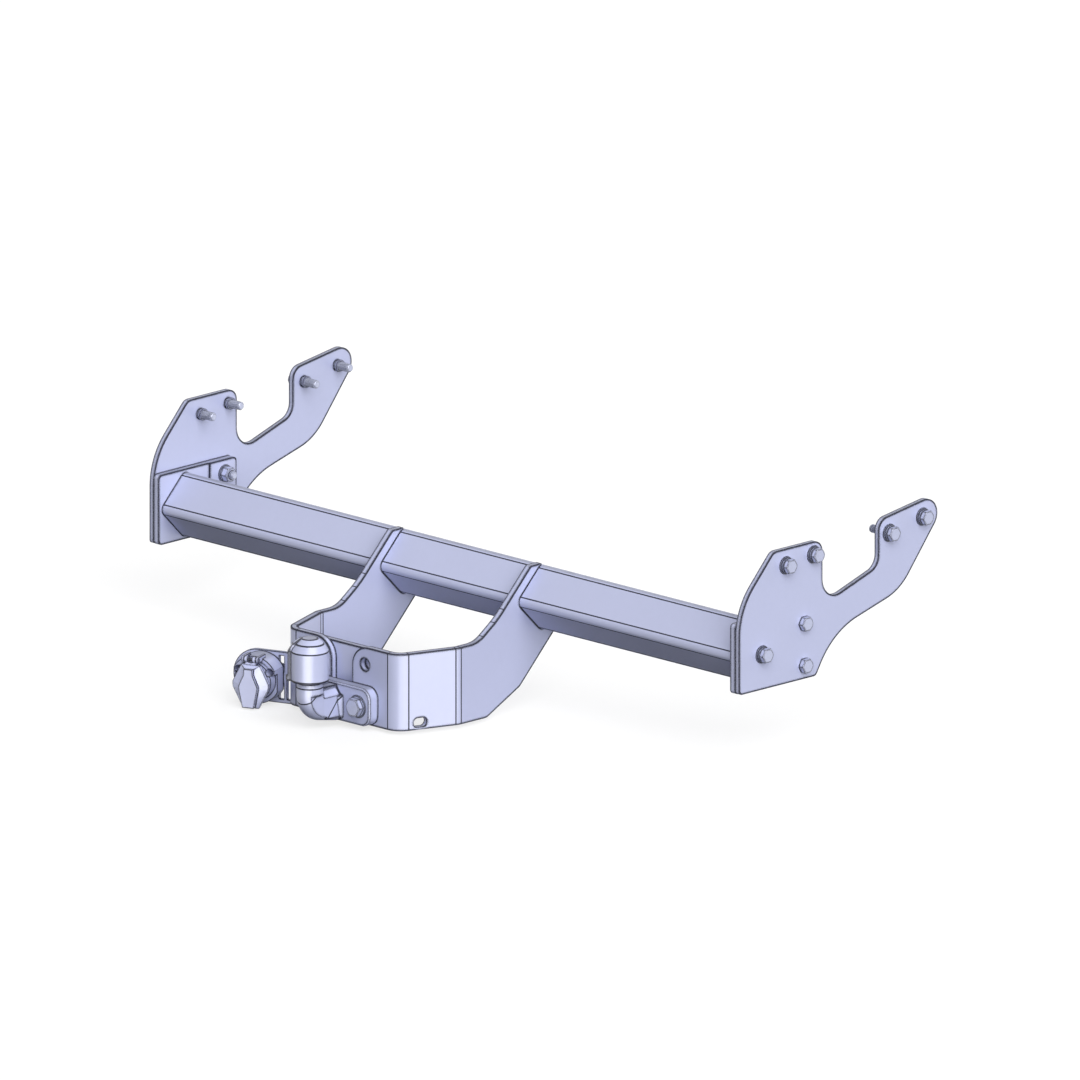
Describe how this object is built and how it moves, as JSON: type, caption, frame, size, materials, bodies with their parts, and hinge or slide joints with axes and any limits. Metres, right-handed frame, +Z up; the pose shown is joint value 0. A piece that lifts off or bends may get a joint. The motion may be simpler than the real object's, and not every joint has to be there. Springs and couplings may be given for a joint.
{
  "type": "tow bar",
  "caption": "Rear tow bar: square cross beam, bolt-on side arms, bent bracket with a capped flange ball, and a trailer socket with a sprung lid.",
  "frame": {"origin": "centre of the tow ball", "axes": "+X along the cross beam to the right, +Y forward towards the vehicle, +Z up"},
  "size_m": [1.1778, 0.6765, 0.3202],
  "materials": {
    "beam_paint": "satin",
    "arm_paint": "satin",
    "bracket_paint": "satin",
    "forged_steel": "satin",
    "zinc": "satin",
    "cap_plastic": "matte",
    "retainer_plastic": "matte",
    "socket_plastic": "matte",
    "gasket_rubber": "matte",
    "contact_brass": "satin",
    "spring_steel": "satin"
  },
  "bodies": {
    "frame": {"cross_beam": "beam_paint", "centre_plate": "bracket_paint", "tow_ball": "forged_steel", "ball_bolts": "zinc", "ball_bolt_washers": "zinc", "ball_nut_washers": "zinc", "ball_nuts": "zinc", "socket_plate": "bracket_paint", "socket_gasket": "gasket_rubber", "socket_housing": "socket_plastic", "contact_insert": "socket_plastic", "contact_pins": "contact_brass", "lid_hinge_pin": "zinc", "socket_screws": "zinc", "socket_nuts": "zinc", "left_end_plate": "beam_paint", "left_side_arm": "arm_paint", "left_cheek_plate": "bracket_paint", "left_chassis_bolts": "zinc", "left_chassis_bolt_washers": "zinc", "left_chassis_bolt_retainers": "retainer_plastic", "left_end_plate_bolts": "zinc", "left_end_plate_nuts": "zinc", "left_chassis_spring_washers": "zinc", "left_end_plate_nut_washers": "zinc", "left_end_plate_head_washers": "zinc", "right_end_plate": "beam_paint", "right_side_arm": "arm_paint", "right_cheek_plate": "bracket_paint", "right_chassis_bolts": "zinc", "right_chassis_bolt_washers": "zinc", "right_chassis_bolt_retainers": "retainer_plastic", "right_end_plate_bolts": "zinc", "right_end_plate_nuts": "zinc", "right_chassis_spring_washers": "zinc", "right_end_plate_nut_washers": "zinc", "right_end_plate_head_washers": "zinc"},
    "lid": {"socket_lid": "socket_plastic", "lid_seal": "gasket_rubber", "lid_spring": "spring_steel"},
    "cap": {"ball_cap": "cap_plastic"}
  },
  "joints": [
    {"name": "lid_hinge", "type": "hinge", "parent": "frame", "child": "lid", "pos_m": [-0.14093, 0.0257, -0.0345], "axis": [-0.9397, -0.342, 0], "range_deg": [0, 105], "stiffness_Nm_per_rad": 0.08, "springref_deg": -28.65},
    {"name": "cap_lift", "type": "slide", "parent": "frame", "child": "cap", "axis": [0, 0, 1], "range_m": [0, 0.07]}
  ]
}
